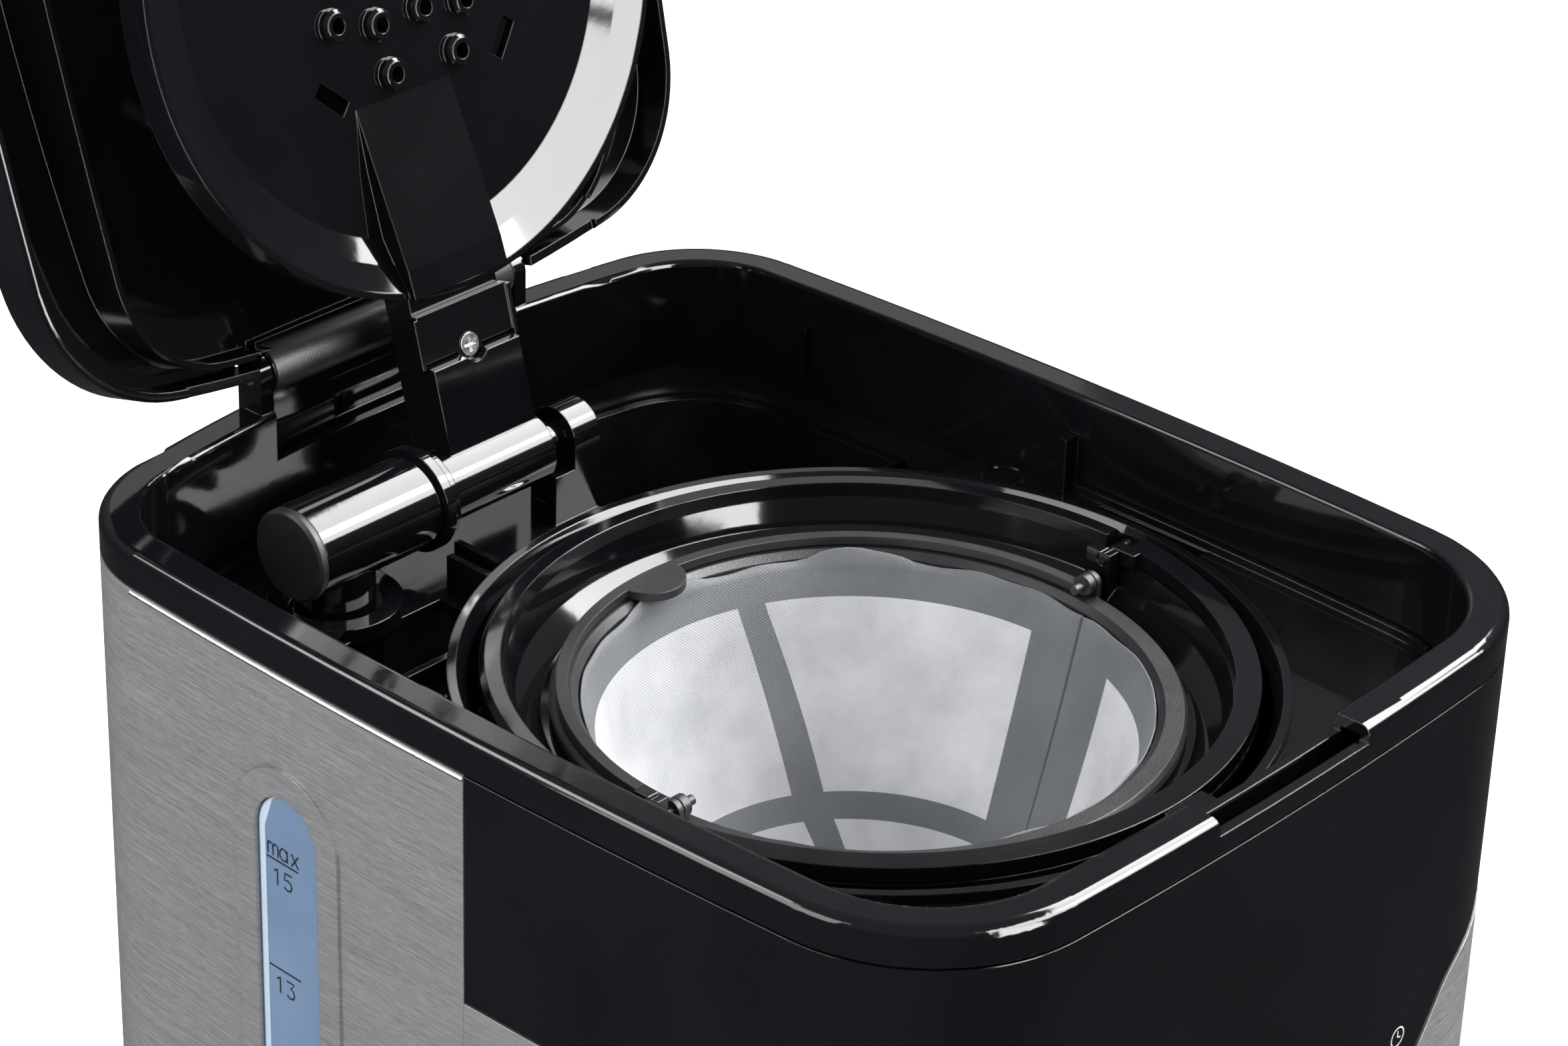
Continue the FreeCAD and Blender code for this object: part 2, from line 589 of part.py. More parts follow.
def make_tank():
    wall, inset = D.tank_wall, D.tank_inset
    low, top = D.tank_low, D.tank_top

    def footprint(extra, z0, z1):
        rear = common(block(inset + extra, z0, z1), box(-200, 200, 58 + extra, 200, z0, z1))
        ear = common(block(inset + extra, z0, z1),
                     box(-200, -91 - extra, 34 + extra, 64, z0, z1))
        return cut(fuse(rear, ear), cylinder(D.seat_outer - 4 + extra, 0, D.brew_y, D.head_low, 120))

    riser = cylinder(8.5, D.riser_x, D.arm_hinge_y, low - 1, 240)
    sleeve = cylinder(10.5, D.riser_x, D.arm_hinge_y, low, top - low - 1)
    outlet = cylinder(3.5, -D.riser_x, D.arm_hinge_y, low - 1, 5)
    hollow = footprint(float(wall), low + wall, top + 1)
    node("water_tank", cut(fuse(cut(footprint(0, low, top), hollow), sleeve), riser, outlet))


# ---------------------------------------------------------------- water path

def make_water_path():
    rise, hinge_y = float(D.riser_x), float(D.arm_hinge_y)
    hinge_z = float(D.rim_top - D.arm_hinge_drop)
    leg_z, leg_end = float(D.plate_under) - 5.5, float(D.brew_y) + 48.2
    cold = [Vector(-rise, leg_end, leg_z), Vector(-rise, hinge_y, leg_z), Vector(-rise, hinge_y, 60)]
    hot = [Vector(rise, leg_end, leg_z), Vector(rise, hinge_y, leg_z), Vector(rise, hinge_y, 298)]
    node("cold_hose", plain(pipe(cold, 12, 5.5, 3.5)))
    node("hot_riser", plain(pipe(hot, 14, 6.0, 4.0)))
    node("check_valve", fuse(
        cut(cylinder(9, -rise, hinge_y, 60.1, 11.8), cylinder(3, -rise, hinge_y, 59, 14)),
        cut(cylinder(3.4, -rise, hinge_y, 71.8, 8), cylinder(2, -rise, hinge_y, 70, 12))))
    left, right = -58.0, -24.0
    elbow = cut(
        fuse(cylinder(10.6, left, hinge_y, hinge_z, right - left, "x"),
             cylinder(9.0, rise, hinge_y, 296.2, hinge_z - 296.2)),
        cylinder(7.6, left + 3, hinge_y, hinge_z, right - left, "x"),
        cylinder(6.1, rise, hinge_y, 290, hinge_z - 290))
    node("hot_elbow", elbow)
    node("elbow_cap", fuse(cylinder(10.6, left - 1.5, hinge_y, hinge_z, 1.4, "x"),
                           cone(9.9, 10.6, left - 2.2, hinge_y, hinge_z, 0.7, "x")))
    node("barrel_seal", cut(
        fuse(cylinder(12, right + 0.05, hinge_y, hinge_z, 2.4, "x"),
             cylinder(10.6, right + 2.4, hinge_y, hinge_z, 2.6, "x")),
        cylinder(7.0, right - 1, hinge_y, hinge_z, 8, "x")))


# ---------------------------------------------------------------- spray arm

def swing(thing, y, z):
    """Turns a closed-lid shape to its open place about an axis along X."""
    angle = -float(D.open_angle)
    turned = FreeCAD.Placement(Vector(0, 0, 0), FreeCAD.Rotation(Vector(1, 0, 0), angle),
                               Vector(0, float(y), float(z)))
    thing.Placement = turned.multiply(thing.Placement)
    return thing


def make_spray_arm():
    hinge_y, hinge_z = D.arm_hinge_y, D.rim_top - D.arm_hinge_drop
    centre, lip = D.disc_y, float(D.rim_top - D.disc_drop)
    radius = float(D.disc_radius)

    def hang(name, thing):
        holder = doc.addObject("Part::Compound", "holder")
        holder.Links = [thing]
        node(name, swing(holder, hinge_y, hinge_z))

    barrel = cut(
        fuse(cylinder(8.2, -18.8, hinge_y, hinge_z, 31.8, "x"),
             cylinder(4.0, 12.9, hinge_y, hinge_z, 12.9, "x"),
             cylinder(6.0, -29, hinge_y, hinge_z, 11, "x")),
        cylinder(4.4, -30, hinge_y, hinge_z, 36, "x"))
    y, z = float(hinge_y), float(hinge_z)
    low, seat = lip - 4.8, lip - 1.9
    profile = [(y - 6, z + 7.2), (y - 14, lip + 6), (48, lip + 6), (10, lip + 8), (10, lip),
               (48, seat), (67, seat), (68.4, low - 1.1), (y - 7, low - 1.3), (y - 1, z - 8.1)]
    spine = prism_x(profile, -13.7, 12.3)
    bore = cylinder(4.4, -30, hinge_y, hinge_z, 36, "x")
    duct = box(-6, 5, 14, 92, lip - 0.6, lip + 3.6)
    disc_space = cylinder(radius + 0.3, D.disc_x, centre, low - 6, 14.5)
    screw_x, screw_y = -0.7, 66.2
    socket = cylinder(3.8, screw_x, screw_y, low - 8, seat - low + 8)
    hang("spray_arm", cut(fuse(cut(spine, disc_space), barrel), bore, duct, socket))

    dish = [
        (0, lip + 1.2), (46, lip + 1.2), (59.5, lip + 0.5), (65, lip - 1.6), (radius - 1.5, lip - 4.4),
        (radius - 1.1, lip - 4.5), (radius, lip - 4.5), (radius, lip + 3.3), (radius - 1.8, lip + 3.3),
        (radius - 1.8, lip - 1.6), (65, lip + 0.9), (59.5, lip + 2.7), (46, lip + 3.4), (0, lip + 3.4)]
    rear_holes = [(-17, 7.8), (-5, 10.8), (8, 10.3), (20, 11.8), (-3.4, 22.2), (16, 22.2)]
    holes = [(x, D.brew_y + way * reach) for x, reach in rear_holes for way in (1, -1)]
    rings = [fuse(cylinder(3.7, x, y0, lip - 0.2, 2.6), cone(2.9, 3.7, x, y0, lip - 1.0, 0.8))
             for x, y0 in holes]
    bores = [cylinder(1.75, x, y0, lip - 8, 12) for x, y0 in holes]
    ramp = prism_x([(8, lip + 1.4), (45, lip - 5.6), (51.5, lip - 6.2), (51.5, lip + 1.4)], -15.2, 12.8)
    slots = [turned_box(x, 5.2, 9, 3.6, lip - 8, lip + 4, turn) for x, turn in ((-21, 42), (30, 128))]
    hang("spray_disc", cut(fuse(revolved(dish, centre, D.disc_x), *rings, ramp), *bores, *slots))

    flanges = [box(x, x + 1.2, 56.5, 68, seat - 2.4, seat - 0.1) for x in (-15.3, 12.7)]
    cover = fuse(box(-14.2, 12.8, 56, 66.9, seat - 2.0, seat - 0.1), *flanges,
                 cylinder(3.7, screw_x, screw_y, seat - 2.0, 1.9))
    hang("arm_cover", cut(cover, cylinder(2.7, screw_x, screw_y, seat - 3, 2.3),
                          cylinder(1.6, screw_x, screw_y, seat - 3, 6)))
    head = fuse(cylinder(2.6, screw_x, screw_y, seat - 2.3, 1.5),
                cylinder(1.5, screw_x, screw_y, seat - 0.9, 0.7))
    cross = [box(screw_x - w, screw_x + w, screw_y - d, screw_y + d, seat - 3, seat - 1.7)
             for w, d in ((1.6, 0.3), (0.3, 1.6))]
    hang("arm_screw", cut(head, *cross))


# ---------------------------------------------------------------- lid

def make_lid():
    hinge_y, hinge_z = D.lid_hinge_y, D.rim_top + D.lid_hinge_rise
    low, high = D.rim_top + D.lid_gap, D.rim_top + D.lid_rise + 2
    crown, wall = float(D.lid_crown), float(D.lid_wall)

    def plan(extra, z0, z1):
        corner = D.lid_corner - extra
        return outline(D.lid_front + extra, D.lid_side + extra, D.lid_rear + extra, corner, corner, z0, z1)

    def skirt(extra, z0, z1):
        return outline(D.lid_front + 14 + extra, D.lid_side + 20.5 + extra, D.lid_rear + 4.5 + extra,
                       28 - extra, 28 - extra, z0, z1)

    def dome(radius, drop):
        ball = doc.addObject("Part::Sphere", "sphere")
        ball.Radius = radius
        return place(ball, 0, 4, float(high) - drop - radius)

    outer = common(round_edges(plan(0, low, high), at_height(low), 1.2), dome(crown, 0))
    inner = common(plan(wall, low - 1, high), dome(crown - wall, wall))
    rib = common(cut(skirt(0, low + 0.6, high), skirt(1.4, low, high + 1)), dome(crown - 1, 1))
    relief = box(-62, 62, 118, 140, low - 1, low + 1.4)
    slot = box(-41.3, 41.3, 123.4, 140, low - 1, low + 13.2)
    shell = cut(fuse(cut(outer, inner), rib), relief, slot)
    bridge = common(plan(0, low, high), dome(crown, 0), box(-36, 36, 121, 140, low + 11.5, high))
    roll = cut(
        fuse(cylinder(D.knuckle_radius, -36.6, hinge_y, hinge_z, 73.2, "x"),
             box(-36.6, 36.6, 122.5, 129, hinge_z, low + 13.5)),
        cylinder(D.pin_radius, -37, hinge_y, hinge_z, 10.4, "x"),
        cylinder(D.pin_radius, 26.6, hinge_y, hinge_z, 10.4, "x"))
    holder = group(fuse(shell, bridge, roll))
    node("lid_shell", swing(holder, hinge_y, hinge_z))
    pins = group(*[cylinder(D.pin_radius, x, hinge_y, hinge_z, 13.6, "x") for x in (-40.4, 26.8)])
    node("lid_hinge_pins", swing(pins, hinge_y, hinge_z))


# ---------------------------------------------------------------- basket and filter

def make_basket():
    rim, top, low, y = D.basket_rim, D.basket_top, D.basket_low, D.brew_y
    seat = D.filter_ring + 1.5
    body = revolved([
        (6.0, low), (46, low), (seat + 1.5, top - 16), (rim - 6, top - 10),
        (rim - 3.2, top - 5.6), (rim, top - 5.6),
        (rim, top - 1.2), (rim - 1.2, top), (rim - 4.6, top), (rim - 5.4, top - 3), (rim - 7.6, top - 9),
        (seat + 1.0, top - 12.4), (seat - 4.5, top - 12.4), (seat - 6, top - 18),
        (44.6, low + 2), (6.0, low + 2)],
        y)
    pivot_y, pivot_z = D.handle_y, D.basket_top - D.handle_thick / 2
    step = cut(box(-90, 90, -120, pivot_y + 4.5, top - D.handle_thick - 0.35, top + 1),
               cylinder(rim - 8.6, 0, y, top - 10, 20))
    spout = cut(cylinder(8, 0, y, low - 7, 8), cylinder(6, 0, y, low - 8, 12))
    lugs = [cut(box(x, x + 3.0, pivot_y - 2, pivot_y + 4.5, top - 12, top - 0.2),
                cylinder(1.56, x - 1, pivot_y, pivot_z, 6, "x")) for x in (-72.6, 69.6)]
    edge = y - rim
    tab = [box(-5, 7, edge - 2, edge + 2.2, top - 5.5, top - 3.8),
           box(-5, 7, edge - 2, edge - 0.15, top - 5.5, top - 0.2),
           box(-5, 7, edge - 12.8, edge - 0.15, top - 1.4, top - 0.2)]
    node("filter_basket", fuse(cut(body, step), spout, *tab, *lugs))


def band(radius, width, z0, z1, centre_y, low_y, high_y):
    """Part of a flat ring, from low_y to high_y."""
    ring = cut(cylinder(radius, 0, centre_y, z0, combine(z1, "-", z0)),
               cylinder(radius - width, 0, centre_y, z0 - 1, combine(z1, "-", z0) + 2))
    return common(ring, box(-200, 200, low_y, high_y, z0 - 2, z1 + 2))


def make_basket_handle():
    top, thick, pivot_y = D.basket_top, D.handle_thick, D.handle_y
    pivot_z = top - thick / 2
    half = band(D.basket_rim, 5.4, top - thick, top, D.brew_y, -200, pivot_y - 2.4)
    ends = [fuse(box(x, x + 3.4, pivot_y - 6, pivot_y, top - thick, top),
                 cylinder(thick / 2, x, pivot_y, pivot_z, 3.4, "x"),
                 cylinder(1.5, x - 3.2, pivot_y, pivot_z, 9, "x")) for x in (-76.4, 73.0)]
    node("basket_handle", fuse(half, *ends))


def make_valve():
    low, y = float(D.basket_low), D.brew_y
    node("valve_plunger", revolved([
        (0, low - 10), (5, low - 10), (5, low - 9), (2.2, low - 8), (2.2, low + 2.6), (7.5, low + 2.6),
        (7.5, low + 4.4), (0, low + 4.4)], y))
    node("valve_seal", cut(cylinder(7.4, 0, y, low + 2.05, 0.5), cylinder(2.3, 0, y, low + 1, 3)))
    turns, radius, wire = 4, 3.9, 0.45
    pitch = 7.0 / turns
    helix = Part.makeHelix(pitch, pitch * turns, radius)
    section = Part.Wire(Part.makeCircle(wire, Vector(radius, 0, 0), Vector(0, 1, 0.07)))
    coil = Part.Wire(helix.Edges).makePipeShell([section], True, True)
    spring = plain(coil, "coil")
    place(spring, 0, D.brew_y, D.basket_low - 7.6)
    node("valve_spring", spring)


def make_filter():
    ring, top, low, foot, y = D.filter_ring, D.filter_top, D.filter_low, D.filter_foot, D.brew_y
    rim = revolved([
        (ring - 5.4, top - 4), (ring - 0.2, top - 4), (ring + 0.8, top - 2.6),
        (ring + 0.8, top - 1), (ring, top),
        (ring - 4.0, top), (ring - 5.4, top - 1.4)], y)
    lugs = [cut(fuse(box(x, x + 1.4, D.handle_y - 2.4, D.handle_y + 2.4, top - 2, top + D.handle_lift),
                     cylinder(2.4, x, D.handle_y, top + D.handle_lift, 1.4, "x")),
                cylinder(1.16, x - 1, D.handle_y, top + D.handle_lift, 4, "x")) for x in (-66.7, 65.3)]
    node("filter_ring", fuse(rim, *lugs))
    in_top, in_low = float(ring) - 5.6, float(foot)
    node("filter_mesh", revolved([
        (0, low), (in_low, low), (in_top, top - 1.6), (in_top - 0.7, top - 1.6), (in_low - 0.6, low + 0.7),
        (0, low + 0.7)], y))
    slope = (in_top - in_low) / (float(top) - 1.6 - float(low))
    high_z, low_z = float(top) - 4.2, float(low) - 1.4

    cage = revolved([
        (0, low_z), (in_low + 1.4, low_z), (in_low + slope * (high_z - float(low)) + 1.5, high_z),
        (in_low + slope * (high_z - float(low)) + 0.1, high_z), (in_low + 0.1, float(low) - 0.1),
        (0, float(low) - 0.1)], y)
    struts = []
    for angle, width in ((142, 8), (61, 8), (-12, 25), (-82, 8), (-150, 8)):
        way = math.radians(angle)
        struts.append(turned_box(45 * math.cos(way), y + 45 * math.sin(way), 90, width,
                                 low_z - 1, high_z + 1, angle))
    keep = fuse(*struts,
                cylinder(90, 0, y, low + 8, 6),
                cut(cylinder(in_low + 4, 0, y, low_z - 1, 4), cylinder(in_low - 5, 0, y, low_z - 2, 8)),
                cylinder(9, 0, y, low_z - 1, 3),
                cylinder(90, 0, y, high_z - 5.2, 8))
    node("filter_cage", common(cage, keep))
    reach, pivot_y, pivot_z = ring - 0.6, D.handle_y, top + D.handle_lift
    half = band(reach, 2.6, top + 0.4, top + 2.4, y, pivot_y + 1, 200)
    tab = common(cylinder(8, 0, y + reach - 2, top + 0.4, 2.0),
                 box(-10, 10, y + reach - 12, y + reach - 1, top, top + 3))
    ends = [fuse(cylinder(2.4, x, pivot_y, pivot_z, 2.0, "x"),
                 cylinder(1.1, x - 3, pivot_y, pivot_z, 7.5, "x"),
                 box(x, x + 2.0, pivot_y, pivot_y + 6, top + 0.6, top + 2.4)) for x in (-65.0, 63.0)]
    node("filter_handle", fuse(half, tab, *ends))


# ---------------------------------------------------------------- carafe

def make_carafe():
    floor, belly, y = D.carafe_floor, D.carafe_belly, D.brew_y
    base = float(floor) + 0.05
    wide = float(belly)
    outside = [
        (0, base), (52, base), (57, base + 3.5), (64, base + 18), (wide, base + 45),
        (wide - 1, base + 66), (wide - 8, base + 92), (55, base + 108), (52.5, base + 116),
        (54, base + 126)]
    inside = [(r - 2.4 if r else 0, h + (2.4 if n < 3 else 0)) for n, (r, h) in enumerate(outside)]
    node("carafe_glass", revolved(outside + inside[::-1], y))
    neck = base + 108
    node("carafe_band", revolved([(56.4, neck - 4), (55.1, neck), (52.7, neck + 8), (54.4, neck + 8),
                                  (56.8, neck), (58.0, neck - 4)], y))
    cy = float(y)
    grip = prism_x([
        (cy - 57, neck - 3), (cy - 57, neck + 8), (cy - 72, neck + 22),
        (cy - 100, neck + 20), (cy - 110, neck + 8),
        (cy - 104, neck - 74), (cy - 92, neck - 78), (cy - 90, neck - 66), (cy - 97, neck + 2),
        (cy - 92, neck + 8), (cy - 76, neck + 8), (cy - 64, neck - 3)], -8, 8)
    node("carafe_handle", round_edges(cut(grip, cylinder(58.1, 0, y, neck - 10, 60)),
                                      lambda e: abs(abs(e.CenterOfMass.x) - 8) < 0.01 and e.Length > 6
                                      and e.CenterOfMass.y < cy - 66, 2.0))
    lid_low = base + 126.1
    node("carafe_lid", revolved([
        (5, lid_low - 8), (46, lid_low - 8), (51, lid_low - 0.1), (51, lid_low), (57, lid_low),
        (57, lid_low + 3),
        (50, lid_low + 7), (26, lid_low + 9), (20, lid_low + 5), (5, lid_low + 3)], y))


def main():
    make_base()
    make_hot_plate()
    make_tower()
    make_cord_gland()
    make_side_panels()
    make_front()
    make_rim()
    make_deck()
    make_brew_chamber()
    make_tank()
    make_water_path()
    make_spray_arm()
    make_lid()
    make_basket()
    make_basket_handle()
    make_valve()
    make_filter()
    make_carafe()
    doc.recompute()


def check_and_write():
    faults = [thing.Name for thing in doc.Objects if {"Invalid", "Error"} & set(thing.State)]
    for name, thing in NODES:
        shape = thing.Shape
        if shape.isNull() or not shape.isValid() or not shape.Solids:
            faults.append(name)
        else:
            box_of = shape.BoundBox
            print("%-20s solids %d volume %9.0f  x %.1f..%.1f y %.1f..%.1f z %.1f..%.1f" % (
                name, len(shape.Solids), shape.Volume, box_of.XMin, box_of.XMax, box_of.YMin, box_of.YMax,
                box_of.ZMin, box_of.ZMax))
    if faults:
        print("faults:", faults)
        sys.exit(1)
    os.makedirs("parts", exist_ok=True)
    for name, thing in NODES:
        thing.Shape.exportStep("parts/%s.step" % name)


main()
check_and_write()
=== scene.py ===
"""Drip coffee maker with its lid open: looks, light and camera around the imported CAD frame."""
import json
import math

import bpy
from mathutils import Matrix, Vector


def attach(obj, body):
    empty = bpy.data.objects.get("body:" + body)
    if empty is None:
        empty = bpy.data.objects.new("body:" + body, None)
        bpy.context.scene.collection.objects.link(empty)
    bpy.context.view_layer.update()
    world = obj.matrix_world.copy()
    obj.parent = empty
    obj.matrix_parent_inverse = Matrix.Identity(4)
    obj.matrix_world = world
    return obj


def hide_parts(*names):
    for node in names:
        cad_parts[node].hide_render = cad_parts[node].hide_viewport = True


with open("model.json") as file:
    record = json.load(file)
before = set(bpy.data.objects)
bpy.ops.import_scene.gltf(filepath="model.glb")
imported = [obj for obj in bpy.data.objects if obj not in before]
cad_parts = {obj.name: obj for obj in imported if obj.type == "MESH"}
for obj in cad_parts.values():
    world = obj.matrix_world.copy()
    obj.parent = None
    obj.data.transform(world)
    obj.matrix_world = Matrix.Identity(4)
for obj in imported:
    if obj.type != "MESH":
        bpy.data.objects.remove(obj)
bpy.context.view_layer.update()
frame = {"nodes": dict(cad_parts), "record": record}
nodes = frame["nodes"]
scene = bpy.context.scene
MM = 0.001


# ---------------------------------------------------------------- camera, floor, light

def make_camera():
    """A long lens from the front left, a little above the open lid's hinge."""
    azimuth, elevation, roll = (math.radians(a) for a in (-48.658, 28.446, 1.9126))
    back = Vector((math.sin(azimuth) * math.cos(elevation),
                   -math.cos(azimuth) * math.cos(elevation),
                   math.sin(elevation)))
    right = Vector((0, 0, 1)).cross(back).normalized()
    up = back.cross(right)
    right, up = (math.cos(roll) * right + math.sin(roll) * up,
                 math.cos(roll) * up - math.sin(roll) * right)
    data = bpy.data.cameras.new("camera")
    data.lens, data.sensor_width = 104.92, 36
    data.clip_start, data.clip_end = 0.05, 30
    camera = bpy.data.objects.new("camera", data)
    turn = Matrix((right, up, back)).transposed().to_4x4()
    camera.matrix_world = Matrix.Translation((-0.6306, -0.5475, 0.7882)) @ turn
    scene.collection.objects.link(camera)
    scene.camera = camera


def make_floor():
    mesh = bpy.data.meshes.new("floor")
    half = 8.0
    mesh.from_pydata([(-half, -half, 0), (half, -half, 0), (half, half, 0), (-half, half, 0)], [],
                     [(0, 1, 2, 3)])
    floor = bpy.data.objects.new("floor", mesh)
    scene.collection.objects.link(floor)
    material = bpy.data.materials.new("pale_floor")
    material.use_nodes = True
    shader = material.node_tree.nodes["Principled BSDF"]
    shader.inputs["Base Color"].default_value = (0.9, 0.9, 0.9, 1)
    shader.inputs["Roughness"].default_value = 0.9
    shader.inputs["Emission Color"].default_value = (1, 1, 1, 1)
    shader.inputs["Emission Strength"].default_value = 0.25
    mesh.materials.append(material)
    floor.visible_glossy = False


def area_light(name, place, target, size, power, only=""):
    """A softbox; only limits it to mirror reflections or to matt light."""
    data = bpy.data.lights.new(name, "AREA")
    data.shape = "RECTANGLE"
    data.size, data.size_y = size
    data.energy = power
    light = bpy.data.objects.new(name, data)
    light.location = place
    light.rotation_euler = (Vector(target) - Vector(place)).to_track_quat("-Z", "Y").to_euler()
    light.visible_diffuse = only != "glossy"
    light.visible_glossy = only != "diffuse"
    scene.collection.objects.link(light)


def make_light():
    """An even white room for matt surfaces and a darker, graded one for mirror reflections."""
    world = bpy.data.worlds.new("studio")
    scene.world = world
    world.use_nodes = True
    tree = world.node_tree
    tree.nodes.clear()

    def add(kind, links, **values):
        made = tree.nodes.new(kind)
        for key, value in values.items():
            setattr(made, key, value)
        for socket, source in links.items():
            if hasattr(source, "is_output"):
                tree.links.new(source, made.inputs[socket])
            else:
                made.inputs[socket].default_value = source
        return made.outputs

    way = add("ShaderNodeSeparateXYZ", {"Vector": add("ShaderNodeTexCoord", {})["Generated"]})

    def grade(axis, start, end, low, high):
        links = {"Value": way[axis], "From Min": start, "From Max": end, "To Min": low,
                 "To Max": high}
        return add("ShaderNodeMapRange", links, interpolation_type="SMOOTHSTEP")[0]

    upper, left = grade(2, 0.0, 0.6, 0.06, 0.22), grade(0, -0.25, -0.8, 0.0, 0.02)
    level = add("ShaderNodeMath", {0: upper, 1: left}, operation="ADD")[0]
    soft = add("ShaderNodeBackground", {"Color": (1, 1, 1, 1), "Strength": 0.85})[0]
    dark = add("ShaderNodeBackground", {"Color": (0.93, 0.96, 1.0, 1), "Strength": level})[0]
    glossy = add("ShaderNodeLightPath", {})["Is Glossy Ray"]
    add("ShaderNodeOutputWorld",
        {"Surface": add("ShaderNodeMixShader", {"Fac": glossy, 1: soft, 2: dark})[0]})
    centre = (0, 0.05, 0.36)
    area_light("matt_right", (1.55, -0.25, 2.0), centre, (1.0, 1.5), 55, "diffuse")
    area_light("matt_left", (-1.8, 0.6, 1.3), centre, (1.2, 1.2), 24)
    area_light("mirror_right", (1.45, -0.35, 1.95), centre, (2.3, 0.8), 92, "glossy")
    disc = (0, 0.1, 0.42)
    area_light("mirror_front", (0.74, -1.42, 1.50), disc, (2.6, 0.80), 112, "glossy")
    area_light("mirror_low", (0.0, -1.90, 0.48), disc, (0.80, 1.2), 56, "glossy")
    area_light("mirror_left", (-1.03, 1.33, 1.79), centre, (0.9, 0.6), 16, "glossy")
    area_light("matt_front", (1.6, -1.2, 1.4), centre, (0.9, 0.9), 16, "diffuse")
    area_light("mirror_back", (1.35, 1.42, 1.30), centre, (0.75, 0.5), 0.55, "glossy")


# ---------------------------------------------------------------- materials

class Nodes:
    """Short calls for building one material's node tree."""

    def __init__(self, name):
        self.material = bpy.data.materials.new(name)
        self.material.use_nodes = True
        self.tree = self.material.node_tree
        self.shader = self.tree.nodes["Principled BSDF"]
        self.place = self.add("ShaderNodeTexCoord").outputs["Object"]

    def add(self, kind, links=(), **values):
        made = self.tree.nodes.new(kind)
        for key, value in values.items():
            setattr(made, key, value)
        for socket, source in dict(links).items():
            if hasattr(source, "is_output"):
                self.tree.links.new(source, made.inputs[socket])
            else:
                made.inputs[socket].default_value = source
        return made

    def set(self, **values):
        for name, value in values.items():
            self.shader.inputs[name.replace("_", " ")].default_value = value

    def link(self, source, socket):
        self.tree.links.new(source, self.shader.inputs[socket])

    def stretched(self, scale):
        return self.add("ShaderNodeMapping", {"Vector": self.place, "Scale": scale}).outputs[0]

    def noise(self, scale, detail=2.0, vector=None, rough=0.5):
        made = self.add("ShaderNodeTexNoise",
                        {"Vector": vector or self.place, "Scale": scale, "Detail": detail,
                                               "Roughness": rough})
        return made.outputs["Fac"]

    def ramp(self, source, low, high, start=0.3, end=0.7):
        made = self.add("ShaderNodeValToRGB", {"Fac": source})
        for element, colour, position in zip(made.color_ramp.elements, (low, high), (start, end)):
            element.color, element.position = (*colour, 1), position
        return made.outputs["Color"]

    def spread(self, source, low, high, start=0.3, end=0.7):
        return self.add("ShaderNodeMapRange", {"Value": source, "From Min": start, "From Max": end,
                                               "To Min": low, "To Max": high}).outputs[0]

    def bump(self, source, strength, distance, edge=0.0):
        links = {"Height": source, "Strength": strength, "Distance": distance}
        if edge:
            links["Normal"] = self.add("ShaderNodeBevel", {"Radius": edge}, samples=4).outputs[0]
        self.link(self.add("ShaderNodeBump", links).outputs[0], "Normal")


def plastic(name, dark, light, rough, grain, edge=0.0004, coat=0.0):
    """Moulded plastic: faint tone changes, uneven gloss and a fine grain."""
    m = Nodes(name)
    m.link(m.ramp(m.noise(35, 4), dark, light), "Base Color")
    m.link(m.spread(m.noise(60, 5, rough=0.65), *rough), "Roughness")
    scale, strength, distance = grain
    m.bump(m.noise(scale, 3), strength, distance, edge)
    m.set(IOR=1.5, Coat_Weight=coat, Coat_Roughness=0.06)
    return m.material


def brushed_steel():
    m = Nodes("brushed_steel")
    streaks = m.noise(1.0, 5, m.stretched((45, 45, 2600)), 0.65)
    specks = m.noise(1.0, 2, m.stretched((300, 300, 2400)), 0.6)
    both = m.add("ShaderNodeMix", {"Factor": 0.4, "A": streaks, "B": specks}).outputs[0]
    m.link(m.ramp(both, (0.21, 0.21, 0.215), (0.42, 0.42, 0.43), 0.3, 0.72), "Base Color")
    m.link(m.spread(both, 0.30, 0.46), "Roughness")
    m.bump(both, 0.25, 0.00006, 0.0004)
    m.set(Metallic=0.5)
    return m.material


def metal(name, low, high, rough, scale=400):
    m = Nodes(name)
    m.link(m.ramp(m.noise(scale, 3), low, high), "Base Color")
    m.link(m.spread(m.noise(scale * 1.7, 3), *rough), "Roughness")
    m.bump(m.noise(900, 2), 0.08, 0.00005, 0.0002)
    m.set(Metallic=1.0)
    return m.material


